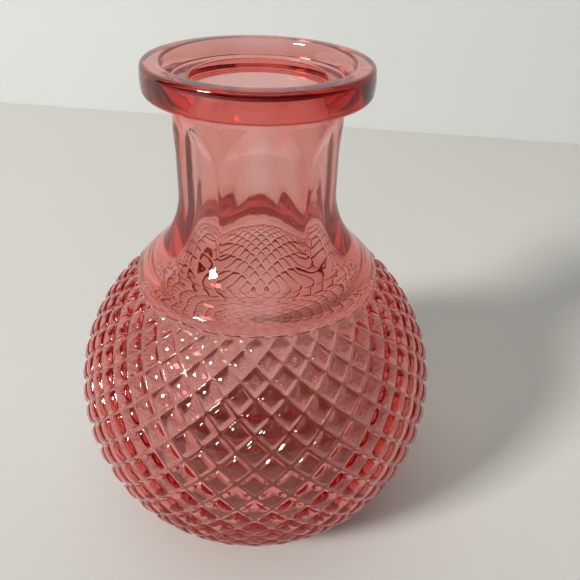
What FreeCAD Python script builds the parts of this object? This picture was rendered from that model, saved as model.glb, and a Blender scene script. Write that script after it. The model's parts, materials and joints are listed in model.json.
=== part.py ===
"""Bud vase of pressed glass: a globe covered in raised diamonds, a fluted shoulder, a six-sided
neck and a wide recessed lip. Millimetres, +Z up, origin at the centre of the foot's bearing plane.
"""
import FreeCAD, Part
import math
import os

import Sketcher

DIMENSIONS = (
    # the globe: its outer meridian is one circular arc, centred a little off the axis
    ("globe_centre_height", 34.0, "equator above the bearing plane"),
    ("meridian_offset", 3.15, "centre of the meridian arc, from the axis"),
    ("meridian_radius", 38.55, "outer meridian arc, at the bottom of the relief's grooves"),
    ("cavity_radius", 36.3, "inner meridian arc"),
    # the foot
    ("foot_height", 5.0, "top of the thick foot, the cavity's floor"),
    ("foot_edge_height", 0.9, "where the globe's curve turns under"),
    ("foot_land_outer", 19.6, "outer radius of the flat bearing ring"),
    ("foot_edge_round", 6.4, "round between the globe and the bearing ring"),
    ("pushup_radius", 15.0, "inner radius of the bearing ring"),
    ("pushup_height", 2.2, "depth of the dished underside"),
    ("pushup_flat_radius", 6.0, "flat middle of the dished underside"),
    ("pushup_curve", 19.5, "curve of the dished underside"),
    # the shoulder
    ("shoulder_height", 64.6, "underside of the shoulder's edge"),
    ("shoulder_radius", 26.9, "radius of the shoulder's edge"),
    ("shoulder_edge_height", 65.65, "top of the shoulder's upright edge"),
    ("shoulder_edge_round", 2.4, "round from the edge to the slope"),
    ("slope_outer_radius", 26.03, "outer end of the shoulder's slope"),
    ("slope_outer_height", 67.49, "height of the slope's outer end"),
    ("slope_inner_radius", 22.0, "inner end of the shoulder's slope"),
    ("slope_inner_height", 71.7, "height of the slope's inner end"),
    ("flare_radius", 17.8, "concave curve from the slope into the neck"),
    ("throat_radius", 24.0, "curve of the glass inside the flare"),
    ("roof_radius", 19.1, "top corner of the cavity"),
    ("roof_height", 68.6, "height of the cavity's top corner"),
    ("roof_round", 6.0, "curve from the cavity's wall to its top corner"),
    # the neck
    ("neck_bottom", 84.0, "lower end of the straight neck"),
    ("neck_top", 103.3, "upper end of the straight neck"),
    ("neck_radius", 17.1, "to the ribs between the flats"),
    ("neck_bore", 13.5, "bore radius"),
    ("flat_count", 6, "flats round the neck"),
    ("flat_distance", 15.6, "axis to each flat"),
    ("flat_half_width", 9.0, "half the width of the arched cut"),
    ("flat_arch_height", 95.0, "where the arch of each flat springs"),
    ("flat_arch_radius", 9.6, "arch over each flat"),
    ("flat_turn", 3.5, "first flat's angle from -Y, in degrees"),
    ("flute_radius", 14.3, "concave foot of each flat, run out on the shoulder"),
    ("flute_length", 24.0, "length of the flute's cutting cylinder"),
    # the lip
    ("lip_top", 111.0, "overall height"),
    ("lip_land_outer", 21.7, "outer edge of the flat top"),
    ("lip_land_inner", 19.4, "inner edge of the flat top"),
    ("lip_radius", 22.6, "upright side of the lip"),
    ("lip_side_top", 110.1, "top of the upright side"),
    ("lip_side_bottom", 106.3, "bottom of the upright side"),
    ("lip_side_bulge", 14.0, "slight outward curve of the side"),
    ("lip_round", 0.9, "round at the top's edges"),
    ("lip_under_radius", 21.4, "outer end of the underside"),
    ("lip_under_height", 105.1, "height of the underside"),
    ("lip_under_round", 1.2, "round at the underside's edge"),
    ("lip_root_radius", 18.9, "inner end of the underside"),
    ("lip_root_round", 1.8, "concave round into the neck"),
    ("recess_top_radius", 18.6, "mouth recess, at its top"),
    ("recess_top_height", 110.2, "where the recess's wall starts"),
    ("recess_floor_radius", 16.7, "mouth recess, at its floor"),
    ("recess_floor_height", 108.1, "ledge round the bore"),
    # the diamond relief
    ("stud_columns", 36, "studs round the globe"),
    ("stud_lowest_row", -11, "lowest row, counted from the equator"),
    ("stud_highest_row", 9, "highest row, cut short under the shoulder"),
    ("stud_row_step", 5.45, "rows on the meridian arc, in degrees, at the equator"),
    ("stud_row_shrink", 0.003, "closing up of the rows away from the equator"),
    ("stud_turn", -0.68, "a groove crossing's angle from -Y, in degrees"),
    ("stud_top_limit", 51.6, "meridian angle where the relief stops, in degrees"),
    ("stud_rise", 0.9, "height of a stud over its grooves"),
    ("stud_root", 0.35, "depth of a stud's root in the wall"),
    ("stud_base_share", 0.84, "foot of a stud as a share of its lattice cell"),
    ("stud_crown_share", 0.6, "crown of a stud as a share of its lattice cell"),
)

doc = FreeCAD.newDocument("bud_vase")
sheet = doc.addObject("Spreadsheet::Sheet", "sheet")
for line, (alias, size, meaning) in enumerate(DIMENSIONS, 1):
    sheet.set(f"A{line}", meaning)
    sheet.set(f"B{line}", str(size))
    sheet.setAlias(f"B{line}", alias)
doc.recompute()


def value(formula):
    """Number of a sum or difference of the sheet's dimensions, written with spaces."""
    total, sign = 0.0, 1
    for word in formula.split():
        if word in ("+", "-"):
            sign = 1 if word == "+" else -1
        else:
            total += sign * float(getattr(sheet, word))
    return total


def cells(formula):
    """The same formula as an expression that reads the sheet."""
    return " ".join(w if w in ("+", "-") else f"<<sheet>>.{w}" for w in formula.split())


def meridian(radius, height):
    """Radius from the axis of a meridian arc of the globe, at a height above the foot."""
    rise = height - sheet.globe_centre_height
    return sheet.meridian_offset + math.sqrt(radius**2 - rise**2)


def arc_centre(start, end, radius):
    """Centre of the arc from start to end that bends left when radius is positive."""
    middle = (start + end) * 0.5
    half = (end - start) * 0.5
    side = FreeCAD.Vector(-half.y, half.x, 0).normalize()
    drop = math.sqrt(max(radius**2 - half.Length**2, 0.0))
    return middle + side * math.copysign(drop, radius)


def new_body(label):
    body = doc.addObject("PartDesign::Body", label)
    body.Label = label
    return body


def datum(body, role):
    """A plane or axis of the body's own origin."""
    return next(f for f in body.Origin.OriginFeatures if f.Role == role)


def new_sketch(body, name, role):
    sketch = body.newObject("Sketcher::SketchObject", name)
    sketch.AttachmentSupport = [(datum(body, role), "")]
    sketch.MapMode = "FlatFace"
    return sketch


def bind(sketch, constraint, formula):
    index = sketch.addConstraint(constraint)
    if formula:
        sketch.setExpression(f"Constraints[{index}]", cells(formula))


def draw_outline(sketch, outline):
    """Closed outline from corners (x, y, bend): x and y are a formula, a number or None for an
    axis, and bend is the radius formula of the arc to the next corner, led by < or > for a left
    or right bend, or None for a straight side."""
    origin, h_axis, v_axis = -1, -1, -2

    def number(entry):
        return 0.0 if entry is None else value(entry) if isinstance(entry, str) else entry

    corners = [FreeCAD.Vector(number(x), number(y), 0) for x, y, _ in outline]
    ends = []
    for corner, (start, (_, _, bend)) in enumerate(zip(corners, outline)):
        end = corners[(corner + 1) % len(corners)]
        if bend is None:
            side = sketch.addGeometry(Part.LineSegment(start, end), False)
            ends.append((side, 1, 2))
            continue
        radius = value(bend[1:]) * (1 if bend[0] == "<" else -1)
        centre = arc_centre(start, end, radius)
        circle = Part.Circle(centre, FreeCAD.Vector(0, 0, 1), abs(radius))
        first, last = (start, end) if radius > 0 else (end, start)
        angles = [math.atan2(p.y - centre.y, p.x - centre.x) for p in (first, last)]
        side = sketch.addGeometry(Part.ArcOfCircle(circle, *angles), False)
        ends.append((side, 1, 2) if radius > 0 else (side, 2, 1))
        bind(sketch, Sketcher.Constraint("Radius", side, abs(radius)), bend[1:])
    for index, (x, y, _) in enumerate(outline):
        side, start, _ = ends[index]
        before, _, end = ends[index - 1]
        sketch.addConstraint(Sketcher.Constraint("Coincident", before, end, side, start))
        for kind, entry, axis in (("DistanceX", x, v_axis), ("DistanceY", y, h_axis)):
            if entry is None:
                sketch.addConstraint(Sketcher.Constraint("PointOnObject", side, start, axis))
                continue
            size = Sketcher.Constraint(kind, origin, 1, side, start, number(entry))
            bind(sketch, size, entry if isinstance(entry, str) else None)


def turned(body, outline):
    """Revolve an outline, drawn as radius and height, round the body's Z axis."""
    sketch = new_sketch(body, body.Label + "_section", "XZ_Plane")
    draw_outline(sketch, outline)
    solid = body.newObject("PartDesign::Revolution", body.Label + "_turned")
    solid.Profile = sketch
    solid.ReferenceAxis = (sketch, ["V_Axis"])
    solid.Angle = 360
    doc.recompute()
    return solid


def repeated(body, feature):
    """Repeat a cut once for each flat of the neck, and turn the body to its place."""
    pattern = body.newObject("PartDesign::PolarPattern", feature.Name + "_pattern")
    pattern.Originals = [feature]
    pattern.Axis = (datum(body, "Z_Axis"), [""])
    pattern.Angle = 360
    pattern.setExpression("Occurrences", cells("flat_count"))
    body.Tip = pattern
    body.setExpression("Placement.Rotation.Angle", f"{cells('flat_turn')} * 1deg")
    doc.recompute()


# foot: thick disc with a flat bearing ring and a dished underside
foot = new_body("foot")
foot_top = meridian(sheet.meridian_radius, sheet.foot_height)
foot_edge = meridian(sheet.meridian_radius, sheet.foot_edge_height)
turned(foot, (
    ("pushup_radius", None, None),
    ("foot_land_outer", None, "<foot_edge_round"),
    (foot_edge, "foot_edge_height", "<meridian_radius"),
    (foot_top, "foot_height", None),
    (None, "foot_height", None),
    (None, "pushup_height", None),
    ("pushup_flat_radius", "pushup_height", ">pushup_curve"),
))


def globe_band(label, low, high):
    """Part of the globe's wall between two heights: both faces are meridian arcs."""
    band = new_body(label)
    turned(band, (
        (meridian(sheet.meridian_radius, value(low)), low, "<meridian_radius"),
        (meridian(sheet.meridian_radius, value(high)), high, None),
        (meridian(sheet.cavity_radius, value(high)), high, ">cavity_radius"),
        (meridian(sheet.cavity_radius, value(low)), low, None),
    ))
    return band


# globe wall: two bands that meet at the equator
globe_lower = globe_band("globe_lower_wall", "foot_height", "globe_centre_height")
globe_upper = globe_band("globe_upper_wall", "globe_centre_height", "shoulder_height")

# shoulder: upright edge, slope and flare outside, domed cavity roof and throat inside
shoulder = new_body("shoulder")
turned(shoulder, (
    (meridian(sheet.cavity_radius, sheet.shoulder_height), "shoulder_height", None),
    ("shoulder_radius", "shoulder_height", None),
    ("shoulder_radius", "shoulder_edge_height", "<shoulder_edge_round"),
    ("slope_outer_radius", "slope_outer_height", None),
    ("slope_inner_radius", "slope_inner_height", ">flare_radius"),
    ("neck_radius", "neck_bottom", None),
    ("neck_bore", "neck_bottom", "<throat_radius"),
    ("roof_radius", "roof_height", ">roof_round"),
))
flute_section = new_sketch(shoulder, "flute_section", "YZ_Plane")
flute_centre = FreeCAD.Vector(-value("flat_distance + flute_radius"), sheet.neck_bottom, 0)
flute_circle = flute_section.addGeometry(
    Part.Circle(flute_centre, FreeCAD.Vector(0, 0, 1), sheet.flute_radius), False
)
bind(flute_section, Sketcher.Constraint("Radius", flute_circle, sheet.flute_radius), "flute_radius")
bind(
    flute_section,
    Sketcher.Constraint("DistanceX", flute_circle, 3, -1, 1, -flute_centre.x),
    "flat_distance + flute_radius",
)
bind(
    flute_section,
    Sketcher.Constraint("DistanceY", -1, 1, flute_circle, 3, flute_centre.y),
    "neck_bottom",
)
flute = shoulder.newObject("PartDesign::Pocket", "flute")
flute.Profile = flute_section
flute.SideType = "Symmetric"
flute.setExpression("Length", cells("flute_length"))
repeated(shoulder, flute)

# neck: tube with six arched flats
neck = new_body("neck")
turned(neck, (
    ("neck_bore", "neck_bottom", None),
    ("neck_radius", "neck_bottom", None),
    ("neck_radius", "neck_top", None),
    ("neck_bore", "neck_top", None),
))
flat_section = new_sketch(neck, "flat_section", "XZ_Plane")
flat_section.setExpression("AttachmentOffset.Base.z", cells("flat_distance"))
draw_outline(flat_section, (
    ("flat_half_width", "neck_bottom", None),
    ("flat_half_width", "flat_arch_height", "<flat_arch_radius"),
    ("flat_half_width - flat_half_width - flat_half_width", "flat_arch_height", None),
    ("flat_half_width - flat_half_width - flat_half_width", "neck_bottom", None),
))
flat = neck.newObject("PartDesign::Pocket", "flat")
flat.Profile = flat_section
flat.Reversed = True
flat.setExpression("Length", cells("neck_radius - neck_bore"))
repeated(neck, flat)

# lip: wide ring with a tapered recess over the bore
lip = new_body("lip_ring")
turned(lip, (
    ("neck_bore", "neck_top", None),
    ("neck_radius", "neck_top", ">lip_root_round"),
    ("lip_root_radius", "lip_under_height", None),
    ("lip_under_radius", "lip_under_height", "<lip_under_round"),
    ("lip_radius", "lip_side_bottom", "<lip_side_bulge"),
    ("lip_radius", "lip_side_top", "<lip_round"),
    ("lip_land_outer", "lip_top", None),
    ("lip_land_inner", "lip_top", "<lip_round"),
    ("recess_top_radius", "recess_top_height", None),
    ("recess_floor_radius", "recess_floor_height", None),
    ("neck_bore", "recess_floor_height", None),
))


def row_angle(row):
    """Meridian angle above the equator of a lattice row, in degrees."""
    step = row + 0.5
    return step * sheet.stud_row_step - step**3 * sheet.stud_row_shrink


def on_globe(column, angle, lift):
    """Point over the globe's outer surface, in the XZ plane turned by a column angle."""
    reach = sheet.meridian_radius + lift
    radius = sheet.meridian_offset + reach * math.cos(math.radians(angle))
    height = sheet.globe_centre_height + reach * math.sin(math.radians(angle))
    turn = math.radians(column)
    return FreeCAD.Vector(radius * math.cos(turn), radius * math.sin(turn), height)


def kite(row, share, lift):
    """Flat kite over one lattice cell: corners at its four groove crossings, drawn in by share."""
    half = 180.0 / sheet.stud_columns
    top = min(row_angle(row + 1), sheet.stud_top_limit)
    corners = [
        on_globe(0, top, 0),
        on_globe(half, row_angle(row), 0),
        on_globe(0, row_angle(row - 1), 0),
        on_globe(-half, row_angle(row), 0),
    ]
    middle = on_globe(0, row_angle(row), lift)
    normal = (middle - on_globe(0, row_angle(row), 0)) * (1 if lift > 0 else -1)
    normal.normalize()
    pulled = [middle + (corner - on_globe(0, row_angle(row), 0)) * share for corner in corners]
    flat_corners = [p - normal * (p - middle).dot(normal) for p in pulled]
    return Part.makePolygon(flat_corners + flat_corners[:1])


# diamond relief: staggered rows of four-sided studs, rooted in the globe's wall
studs = []
pitch = 360.0 / sheet.stud_columns
for row in range(int(sheet.stud_lowest_row), int(sheet.stud_highest_row) + 1):
    stud = Part.makeLoft([
        kite(row, sheet.stud_base_share, -sheet.stud_root),
        kite(row, sheet.stud_crown_share, sheet.stud_rise),
    ], True, True)
    stagger = 0.5 if row % 2 == 0 else 0.0
    for column in range(int(sheet.stud_columns)):
        turn = FreeCAD.Rotation(FreeCAD.Vector(0, 0, 1), (column + stagger) * pitch)
        studs.append(stud.transformed(FreeCAD.Placement(FreeCAD.Vector(), turn).toMatrix(), True))
relief = doc.addObject("Part::Feature", "diamond_relief")
relief.Label = "diamond_relief"
relief.Shape = Part.makeCompound(studs)
relief.Placement = FreeCAD.Placement(
    FreeCAD.Vector(), FreeCAD.Rotation(FreeCAD.Vector(0, 0, 1), sheet.stud_turn - 90)
)

doc.recompute()
nodes = (foot, globe_lower, globe_upper, shoulder, neck, lip, relief)
for item in doc.Objects:
    if "Invalid" in item.State or "Error" in item.State:
        raise RuntimeError(f"{item.Label}: {item.State}")
for node in nodes:
    if node.Shape.isNull() or not node.Shape.isValid():
        raise RuntimeError(f"{node.Label}: no valid shape")

os.makedirs("parts", exist_ok=True)
for node in nodes:
    node.Shape.exportStep(f"parts/{node.Label}.step")
    box = node.Shape.BoundBox
    print(f"{node.Label}: {len(node.Shape.Solids)} solids, {node.Shape.Volume:.0f} mm3,"
          f" z {box.ZMin:.2f} to {box.ZMax:.2f}, width {box.XLength:.2f}")
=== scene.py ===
import json
import math

import bpy
from mathutils import Matrix, Vector


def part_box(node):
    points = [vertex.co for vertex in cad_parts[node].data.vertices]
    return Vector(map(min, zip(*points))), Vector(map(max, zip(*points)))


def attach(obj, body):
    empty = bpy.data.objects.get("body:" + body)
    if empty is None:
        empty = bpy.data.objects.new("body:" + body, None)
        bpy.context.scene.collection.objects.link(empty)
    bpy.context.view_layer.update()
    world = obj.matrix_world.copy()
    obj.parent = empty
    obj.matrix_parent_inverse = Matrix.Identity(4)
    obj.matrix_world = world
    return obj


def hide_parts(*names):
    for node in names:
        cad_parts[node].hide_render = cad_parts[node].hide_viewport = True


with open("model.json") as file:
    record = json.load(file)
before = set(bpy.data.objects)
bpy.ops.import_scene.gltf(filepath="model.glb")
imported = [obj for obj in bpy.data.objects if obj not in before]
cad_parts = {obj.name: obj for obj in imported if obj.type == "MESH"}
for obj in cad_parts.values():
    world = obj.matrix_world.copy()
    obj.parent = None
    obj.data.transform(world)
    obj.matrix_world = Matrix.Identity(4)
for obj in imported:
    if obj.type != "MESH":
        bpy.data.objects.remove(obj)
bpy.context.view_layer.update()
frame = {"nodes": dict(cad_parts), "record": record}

MM = 0.001

# Heights and radii that come from the frame, in millimetres.
LIP_LOW, LIP_HIGH = (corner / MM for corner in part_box("lip_ring"))
NECK_LOW, NECK_HIGH = (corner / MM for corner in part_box("neck"))
SHOULDER_LOW, SHOULDER_HIGH = (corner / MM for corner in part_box("shoulder"))
WALL_LOW, WALL_HIGH = (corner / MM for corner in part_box("globe_lower_wall"))
MOUNTS = {mount["name"]: mount for mount in frame["record"]["mounts"]}
BORE = MOUNTS["neck_bore"]["dims"]["r_mm"]
TOP = LIP_HIGH.z
FLOOR_INSIDE = WALL_LOW.z
EQUATOR = WALL_HIGH.z
GLOBE_RADIUS = WALL_HIGH.x

# Globe: one meridian arc outside and one inside, centred a little off the axis.
MERIDIAN_OFFSET = 3.15
GLOBE_WALL = 2.25
MERIDIAN = GLOBE_RADIUS - MERIDIAN_OFFSET
CAVITY = MERIDIAN - GLOBE_WALL

# Diamond lattice: staggered studs between two crossing sets of grooves.
COLUMNS = 36
LATTICE_TURN = -0.68
LOWEST_ROW, HIGHEST_ROW = -11, 9
ROW_STEP, ROW_SHRINK = 5.45, 0.003
STUD_RISE = 0.92
# Beyond the whole rows: how far the relief runs on, in rows, and how much of it has faded there.
UPPER_PART_ROW, UPPER_FADE, UPPER_STEPS = 0.78, 0.65, 5
LOWER_PART_ROW, LOWER_FADE, LOWER_STEPS = 0.85, 0.75, 4
# Share of the way across a cell, and the height there as a share of the stud's rise.
STUD_SECTION = ((0.0, 0.0), (0.055, 0.04), (0.105, 0.42), (0.16, 0.72), (0.27, 0.89), (0.5, 1.0))
SUBDIVISIONS = 2 * (len(STUD_SECTION) - 1)

# Neck: six flats with arched tops, whose feet run out on the shoulder as flutes.
FLATS = 6
FLAT_TURN = 3.5
FLAT_DISTANCE = 15.6
NECK_RADIUS = 17.1
FLUTE_RADIUS = 14.3
ARCH_CENTRE, ARCH_RADIUS = 91.7, 9.6
ARCH_FADE = 7.0
EDGE_SOFTNESS = 2.0

# Lip and mouth recess.
LIP_RADIUS = 22.6
LIP_UNDERSIDE = LIP_LOW.z + 1.8
RECESS_FLOOR = TOP - 2.9

# Foot: the dish under it, and the round where the cavity's wall meets its floor.
DISH_DEPTH = 2.2
CAVITY_CORNER = 3.0

# Faces that meet at more than this angle, in degrees, are shaded apart.
SHARP_EDGE = 55.0

# A hair under the bearing ring, so that light leaves the glass before it meets the card.
FLOOR_DROP = 0.00005

# The camera's place in metres, its angles in degrees, and its lens in millimetres.
CAMERA_PLACE = (0.0, -0.12687, 0.10687 + EQUATOR * MM)
PITCH, YAW, ROLL = 32.95, 3.41, 2.08
LENS, SENSOR = 39.85, 36.0

# Soft boxes: name, azimuth, elevation, distance, size, power and colour.
LIGHTS = (
    ("window", 215.0, 30.5, 2.5, (0.50, 0.43), 63.0, (1.0, 0.98, 0.94)),
    ("ceiling", 260.0, 68.0, 1.6, (1.1, 1.1), 2.0, (0.94, 0.97, 1.0)),
    ("front_fill", 265.0, 50.0, 0.35, (0.25, 0.25), 0.12, (1.0, 0.96, 0.94)),
)

# Light crosses many faces inside the relief before it leaves the glass.
LIGHT_BOUNCES = 32


def section_height(share):
    """Height of a stud's section, from a groove's middle at share 0 to its crown at 0.5."""
    for (near, low), (far, high) in zip(STUD_SECTION, STUD_SECTION[1:]):
        if share <= far:
            return low + (high - low) * (share - near) / (far - near)
    return 1.0


STATIONS = [share for share, _ in STUD_SECTION]
STATIONS += [1.0 - share for share, _ in reversed(STUD_SECTION[1:-1])]


def row_angle(row):
    """Meridian angle above the equator of a lattice row, in degrees."""
    step = row + 0.5
    return ROW_STEP * step - ROW_SHRINK * step**3


def relief(along, across):
    """Height over the groove floors, from the two groove coordinates."""
    shares = [0.5 - abs(value % 1.0 - 0.5) for value in (along, across)]
    return STUD_RISE * section_height(shares[0]) * section_height(shares[1])


def polar(radius, longitude, height):
    """Point from its distance to the axis and its longitude: 0 at -Y, 90 at +X."""
    angle = math.radians(longitude)
    return Vector((radius * math.sin(angle), -radius * math.cos(angle), height))


def on_globe(along, across, fade=1.0):
    column, row = along + across, along - across
    angle = math.radians(row_angle(row))
    reach = MERIDIAN + relief(along, across) * fade
    radius = MERIDIAN_OFFSET + reach * math.cos(angle)
    longitude = LATTICE_TURN + column * 180.0 / COLUMNS
    return polar(radius, longitude, EQUATOR + reach * math.sin(angle))


def arc(start, end, radius, steps):
    """Points after start to end on an arc that bends left when radius is positive."""
    (x0, z0), (x1, z1) = start, end
    half = Vector((x1 - x0, z1 - z0)) / 2
    side = Vector((-half.y, half.x)).normalized()
    drop = math.copysign(math.sqrt(max(radius**2 - half.length_squared, 0.0)), radius)
    centre = Vector((x0, z0)) + half + side * drop
    first = math.atan2(z0 - centre.y, x0 - centre.x)
    last = math.atan2(z1 - centre.y, x1 - centre.x)
    sweep = (last - first + math.pi) % (2 * math.pi) - math.pi
    turns = [first + sweep * step / steps for step in range(1, steps + 1)]
    return [(centre.x + abs(radius) * math.cos(t), centre.y + abs(radius) * math.sin(t))
            for t in turns]


def line(start, end, steps):
    """Points after start to end on a straight line."""
    return [tuple(a + (b - a) * step / steps for a, b in zip(start, end))
            for step in range(1, steps + 1)]


def outline(start, *sides):
    """Points of an outline: each side is its end, its steps and the radius of its arc or None."""
    points = [start]
    for end, steps, radius in sides:
        points += arc(points[-1], end, radius, steps) if radius else line(points[-1], end, steps)
    return points


def soft_min(a, b, softness):
    blend = max(softness - abs(a - b), 0.0) / softness
    return min(a, b) - blend * blend * softness / 4


def fluted(radius, longitude, height):
    """Point of the neck or shoulder after the flats and their flutes are cut."""
    sector = 360.0 / FLATS
    turn = round((longitude - FLAT_TURN) / sector) * sector + FLAT_TURN
    off = math.radians(longitude - turn)
    out, side = radius * math.cos(off), radius * math.sin(off)
    cut = FLAT_DISTANCE
    drop = NECK_LOW.z - height
    if drop > 0:
        cut += FLUTE_RADIUS
        if drop < FLUTE_RADIUS:
            cut -= math.sqrt(FLUTE_RADIUS**2 - drop**2)
    over = height - ARCH_CENTRE - math.sqrt(max(ARCH_RADIUS**2 - side**2, 0.0))
    fade = min(max(over / ARCH_FADE + 0.5, 0.0), 1.0)
    cut += (NECK_RADIUS - FLAT_DISTANCE + EDGE_SOFTNESS) * fade * fade * (3.0 - 2.0 * fade)
    out = soft_min(out, cut, EDGE_SOFTNESS)
    facing = math.radians(turn)
    return Vector((
        out * math.sin(facing) + side * math.cos(facing),
        side * math.sin(facing) - out * math.cos(facing),
        height,
    ))


class Skin:
    """A closed surface built ring by ring."""

    def __init__(self):
        self.points, self.faces = [], []

    def ring(self, points):
        first = len(self.points)
        self.points += points
        return list(range(first, len(self.points)))

    def join(self, low, high):
        """Faces between two rings; the second may have a whole fraction of the first's points."""
        share = len(low) // len(high)
        for index, point in enumerate(high):
            after = high[(index + 1) % len(high)]
            near = [low[(index * share + k) % len(low)] for k in range(share + 1)]
            middle = (share + 1) // 2
            for k in range(share):
                if k == middle - 1:
                    self.faces.append((near[k], near[k + 1], after, point))
                else:
                    self.faces.append((near[k], near[k + 1], point if k < middle - 1 else after))

    def close(self, ring, centre):
        self.points.append(centre)
        last = len(self.points) - 1
        for index, point in enumerate(ring):
            self.faces.append((point, ring[(index + 1) % len(ring)], last))

    def mesh(self, name):
        data = bpy.data.meshes.new(name)
        data.from_pydata([point * MM for point in self.points], [], self.faces)
        data.validate()
        data.polygons.foreach_set("use_smooth", [True] * len(data.polygons))
        data.set_sharp_from_angle(angle=math.radians(SHARP_EDGE))
        return data


def lattice_ring(row):
    """Groove coordinates of the points on a whole lattice row, eastwards."""
    count = COLUMNS * SUBDIVISIONS
    places = []
    for index in range(count):
        along = index // SUBDIVISIONS + STATIONS[index % SUBDIVISIONS]
        places.append((along, along - row))
    return places


def add_lattice(skin):
    """The diamond field between its two outermost whole rows. Returns those rows' rings."""
    count = COLUMNS * SUBDIVISIONS
    found = {}

    def corner(a, b):
        laps = a // count
        key = (a - laps * count, b - laps * count)
        if key not in found:
            found[key] = len(skin.points)
            along, across = (v // SUBDIVISIONS + STATIONS[v % SUBDIVISIONS] for v in key)
            skin.points.append(on_globe(along, across))
        return found[key]

    low, high = LOWEST_ROW * SUBDIVISIONS, HIGHEST_ROW * SUBDIVISIONS
    for a in range(count):
        for level in range(low, high + 1):
            b = a - level
            west, east = corner(a, b), corner(a + 1, b + 1)
            if level == low:
                skin.faces.append((west, east, corner(a + 1, b)))
            elif level == high:
                skin.faces.append((west, corner(a, b + 1), east))
            else:
                skin.faces.append((west, corner(a, b + 1), east, corner(a + 1, b)))
    rings = []
    for level in (low, high):
        rings.append([corner(a, a - level) for a in range(count)])
    return rings


def evenly(first, count):
    """Longitudes of a ring of evenly spaced points."""
    return [first + 360.0 * index / count for index in range(count)]


def build_vase():
    skin = Skin()
    bottom, top = add_lattice(skin)
    size = len(top)
    row_low = lattice_ring(LOWEST_ROW)
    row_high = lattice_ring(HIGHEST_ROW)
    first_turn = LATTICE_TURN + sum(row_high[0]) * 180.0 / COLUMNS

    # the last part row of the lattice, which fades out under the shoulder
    for step in range(1, UPPER_STEPS + 1):
        share = step / UPPER_STEPS
        lift = UPPER_PART_ROW * share
        fade = 1.0 - UPPER_FADE * share**2
        ring = skin.ring([on_globe(a + lift / 2, b - lift / 2, fade) for a, b in row_high])
        skin.join(top, ring)
        top = ring

    # shoulder, neck and lip outside
    shoulder = SHOULDER_HIGH.x
    outside = outline(
        (shoulder, SHOULDER_LOW.z + 0.15),
        ((shoulder, SHOULDER_LOW.z + 1.05), 2, None),
        ((shoulder - 0.87, SHOULDER_LOW.z + 2.89), 5, 2.4),
        ((22.0, 71.7), 7, None),
        ((NECK_RADIUS, NECK_LOW.z), 14, -17.8),
        ((NECK_RADIUS, 96.0), 4, None),
        ((NECK_RADIUS, NECK_HIGH.z), 9, None),
        ((18.9, LIP_UNDERSIDE), 5, -1.8),
        ((21.4, LIP_UNDERSIDE), 3, None),
        ((LIP_RADIUS, LIP_UNDERSIDE + 1.2), 5, 1.2),
        ((LIP_RADIUS, TOP - 0.9), 5, 14.0),
        ((21.7, TOP), 6, 0.9),
        ((19.4, TOP), 3, None),
        ((18.6, TOP - 0.8), 5, 0.9),
    )
    around = evenly(first_turn, size // 2)
    for radius, height in outside:
        if height < NECK_HIGH.z:
            ring = skin.ring([fluted(radius, turn, height) for turn in around])
        else:
            ring = skin.ring([polar(radius, turn, height) for turn in around])
        skin.join(top, ring)
        top = ring

    # recess, bore, throat, cavity and its floor, on fewer points
    wall_foot = EQUATOR - FLOOR_INSIDE - CAVITY_CORNER
    foot_radius = MERIDIAN_OFFSET + math.sqrt(CAVITY**2 - wall_foot**2)
    roof_radius = MERIDIAN_OFFSET + math.sqrt(CAVITY**2 - (SHOULDER_LOW.z - EQUATOR) ** 2)
    inside = outline(
        (18.3, TOP - 1.2),
        ((16.9, RECESS_FLOOR + 0.35), 4, None),
        ((16.4, RECESS_FLOOR), 3, -0.6),
        ((BORE + 0.3, RECESS_FLOOR), 3, None),
        ((BORE, RECESS_FLOOR - 0.3), 3, 0.3),
        ((BORE, NECK_LOW.z), 10, None),
        ((19.1, 68.6), 12, 24.0),
        ((roof_radius, SHOULDER_LOW.z), 5, -6.0),
        ((foot_radius, FLOOR_INSIDE + CAVITY_CORNER), 30, -CAVITY),
        ((foot_radius - 4.6, FLOOR_INSIDE), 6, -4.2),
        ((6.0, FLOOR_INSIDE), 4, None),
    )
    fewer = evenly(first_turn, size // 4)
    for radius, height in inside:
        ring = skin.ring([polar(radius, turn, height) for turn in fewer])
        skin.join(top, ring)
        top = ring
    skin.close(top, Vector((0.0, 0.0, FLOOR_INSIDE)))

    # underside: the last part row, the bearing ring and the dish
    under = Skin()
    under.points = skin.points
    base = bottom
    for step in range(1, LOWER_STEPS + 1):
        share = step / LOWER_STEPS
        lift = LOWER_PART_ROW * share
        fade = 1.0 - LOWER_FADE * share**2
        ring = under.ring([on_globe(a - lift / 2, b + lift / 2, fade) for a, b in row_low])
        under.join(base, ring)
        base = ring
    underside = outline(
        (22.2, 0.55),
        ((19.6, 0.0), 4, -6.4),
        ((15.0, 0.0), 3, None),
        ((6.0, DISH_DEPTH), 6, 19.5),
        ((2.0, DISH_DEPTH), 1, None),
    )
    edge = [LATTICE_TURN + (a + b) * 180.0 / COLUMNS for a, b in row_low]
    whole_rings = 4
    for index, (radius, height) in enumerate(underside):
        turns = edge if index < whole_rings else evenly(edge[0], size // 4)
        ring = under.ring([polar(radius, turn, height) for turn in turns])
        under.join(base, ring)
        base = ring
    under.close(base, Vector((0.0, 0.0, DISH_DEPTH)))
    skin.faces += [tuple(reversed(face)) for face in under.faces]
    return skin.mesh("vase_glass")


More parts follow.
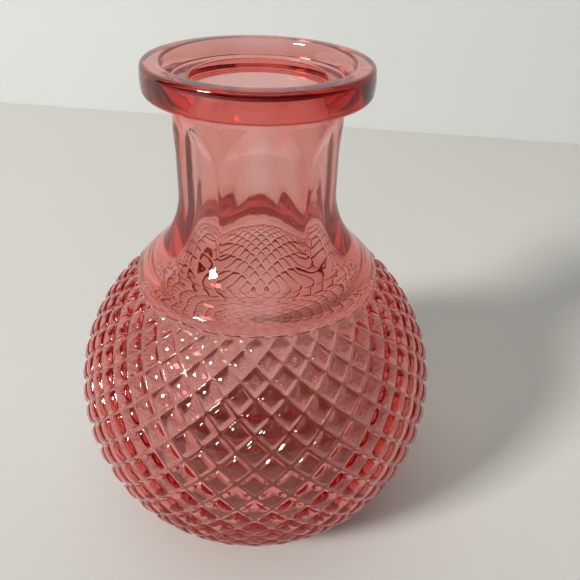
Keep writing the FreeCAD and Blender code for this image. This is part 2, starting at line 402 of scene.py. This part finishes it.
def glass_material():
    """Coral pink glass: clear at the surface, coloured by the depth that light crosses."""
    material = bpy.data.materials.new("coral_glass")
    material.use_nodes = True
    nodes, links = material.node_tree.nodes, material.node_tree.links
    shader = nodes["Principled BSDF"]
    output = nodes["Material Output"]
    shader.inputs["Base Color"].default_value = (1.0, 0.985, 0.98, 1.0)
    shader.inputs["Transmission Weight"].default_value = 1.0
    shader.inputs["IOR"].default_value = 1.51

    place = nodes.new("ShaderNodeTexCoord")
    ripple = nodes.new("ShaderNodeTexNoise")
    ripple.inputs["Scale"].default_value = 160.0
    ripple.inputs["Detail"].default_value = 2.0
    links.new(place.outputs["Object"], ripple.inputs["Vector"])
    bump = nodes.new("ShaderNodeBump")
    bump.inputs["Strength"].default_value = 0.2
    bump.inputs["Distance"].default_value = 0.0004
    links.new(ripple.outputs["Fac"], bump.inputs["Height"])
    links.new(bump.outputs["Normal"], shader.inputs["Normal"])

    haze = nodes.new("ShaderNodeTexNoise")
    haze.inputs["Scale"].default_value = 900.0
    haze.inputs["Detail"].default_value = 3.0
    links.new(place.outputs["Object"], haze.inputs["Vector"])
    polish = nodes.new("ShaderNodeMapRange")
    polish.inputs["From Min"].default_value = 0.35
    polish.inputs["From Max"].default_value = 0.75
    polish.inputs["To Min"].default_value = 0.0
    polish.inputs["To Max"].default_value = 0.035
    links.new(haze.outputs["Fac"], polish.inputs["Value"])
    links.new(polish.outputs["Result"], shader.inputs["Roughness"])

    tint = nodes.new("ShaderNodeVolumeAbsorption")
    tint.inputs["Color"].default_value = (0.90, 0.16, 0.10, 1.0)
    tint.inputs["Density"].default_value = 190.0
    links.new(tint.outputs["Volume"], output.inputs["Volume"])
    return material


def matte_material(name, colour, variation, scale):
    """Pale card with a faint cloudiness in its colour."""
    material = bpy.data.materials.new(name)
    material.use_nodes = True
    nodes, links = material.node_tree.nodes, material.node_tree.links
    shader = nodes["Principled BSDF"]
    shader.inputs["Roughness"].default_value = 0.62
    place = nodes.new("ShaderNodeTexCoord")
    cloud = nodes.new("ShaderNodeTexNoise")
    cloud.inputs["Scale"].default_value = scale
    links.new(place.outputs["Object"], cloud.inputs["Vector"])
    mix = nodes.new("ShaderNodeMix")
    mix.data_type = "RGBA"
    mix.inputs["A"].default_value = (*colour, 1.0)
    mix.inputs["B"].default_value = (*[c * variation for c in colour], 1.0)
    links.new(cloud.outputs["Fac"], mix.inputs["Factor"])
    links.new(mix.outputs["Result"], shader.inputs["Base Color"])
    return material


def add_object(name, data):
    item = bpy.data.objects.new(name, data)
    bpy.context.scene.collection.objects.link(item)
    return item


def add_vase():
    vase = add_object("vase_glass", build_vase())
    vase.data.materials.append(glass_material())
    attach(vase, "root")
    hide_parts(*frame["nodes"])


def add_plane(name, width, length, matrix, material):
    corners = [(-width / 2, -length / 2, 0), (width / 2, -length / 2, 0),
               (width / 2, length / 2, 0), (-width / 2, length / 2, 0)]
    data = bpy.data.meshes.new(name)
    data.from_pydata(corners, [], [(0, 1, 2, 3)])
    data.materials.append(material)
    plane = add_object(name, data)
    plane.matrix_world = matrix


def add_stage():
    floor = matte_material("floor_card", (0.70, 0.69, 0.66), 0.96, 2.0)
    wall = matte_material("wall_card", (0.69, 0.71, 0.70), 0.98, 1.5)
    add_plane("floor", 6.0, 6.0, Matrix.Translation((0.0, 0.0, -FLOOR_DROP)), floor)
    stand = Matrix.Translation((0.014, 0.297, 0.7))
    stand @= Matrix.Rotation(math.radians(-9.6), 4, "Z")
    stand @= Matrix.Rotation(math.radians(90), 4, "X")
    add_plane("wall", 4.0, 1.4, stand, wall)


def add_light(name, azimuth, elevation, distance, size, power, colour):
    """Soft box that faces the vase. Azimuth 0 stands at +X and 90 at +Y."""
    lamp = bpy.data.lights.new(name, "AREA")
    lamp.shape = "RECTANGLE"
    lamp.size, lamp.size_y = size
    lamp.energy = power
    lamp.color = colour
    item = add_object(name, lamp)
    turn, rise = math.radians(azimuth), math.radians(elevation)
    level = math.cos(rise)
    away = Vector((math.cos(turn) * level, math.sin(turn) * level, math.sin(rise)))
    target = Vector((0.0, 0.0, 0.045))
    item.location = target + away * distance
    item.rotation_mode = "QUATERNION"
    item.rotation_quaternion = (-away).to_track_quat("-Z", "Y")


def add_lights():
    for light in LIGHTS:
        add_light(*light)
    world = bpy.data.worlds.new("room")
    world.use_nodes = True
    background = world.node_tree.nodes["Background"]
    background.inputs["Color"].default_value = (0.93, 0.97, 1.0, 1.0)
    background.inputs["Strength"].default_value = 0.06
    bpy.context.scene.world = world


def add_camera():
    """A phone's wide lens, held above the vase and turned a little off level."""
    pitch, yaw, roll = (math.radians(a) for a in (PITCH, YAW, ROLL))
    data = bpy.data.cameras.new("camera")
    data.lens = LENS
    data.sensor_width = SENSOR
    data.clip_start = 0.005
    camera = add_object("camera", data)
    ahead = math.cos(pitch)
    forward = Vector((math.sin(yaw) * ahead, math.cos(yaw) * ahead, -math.sin(pitch)))
    right = Vector((math.cos(yaw), -math.sin(yaw), 0.0))
    up = right.cross(forward)
    level = Matrix((right, up, -forward)).transposed()
    turned = (level @ Matrix.Rotation(roll, 3, "Z")).to_4x4()
    camera.matrix_world = Matrix.Translation(CAMERA_PLACE) @ turned
    bpy.context.scene.camera = camera


add_vase()
add_stage()
add_lights()
add_camera()
bpy.context.scene.view_settings.view_transform = "Standard"
cycles = bpy.context.scene.cycles
cycles.max_bounces = cycles.glossy_bounces = cycles.transmission_bounces = LIGHT_BOUNCES
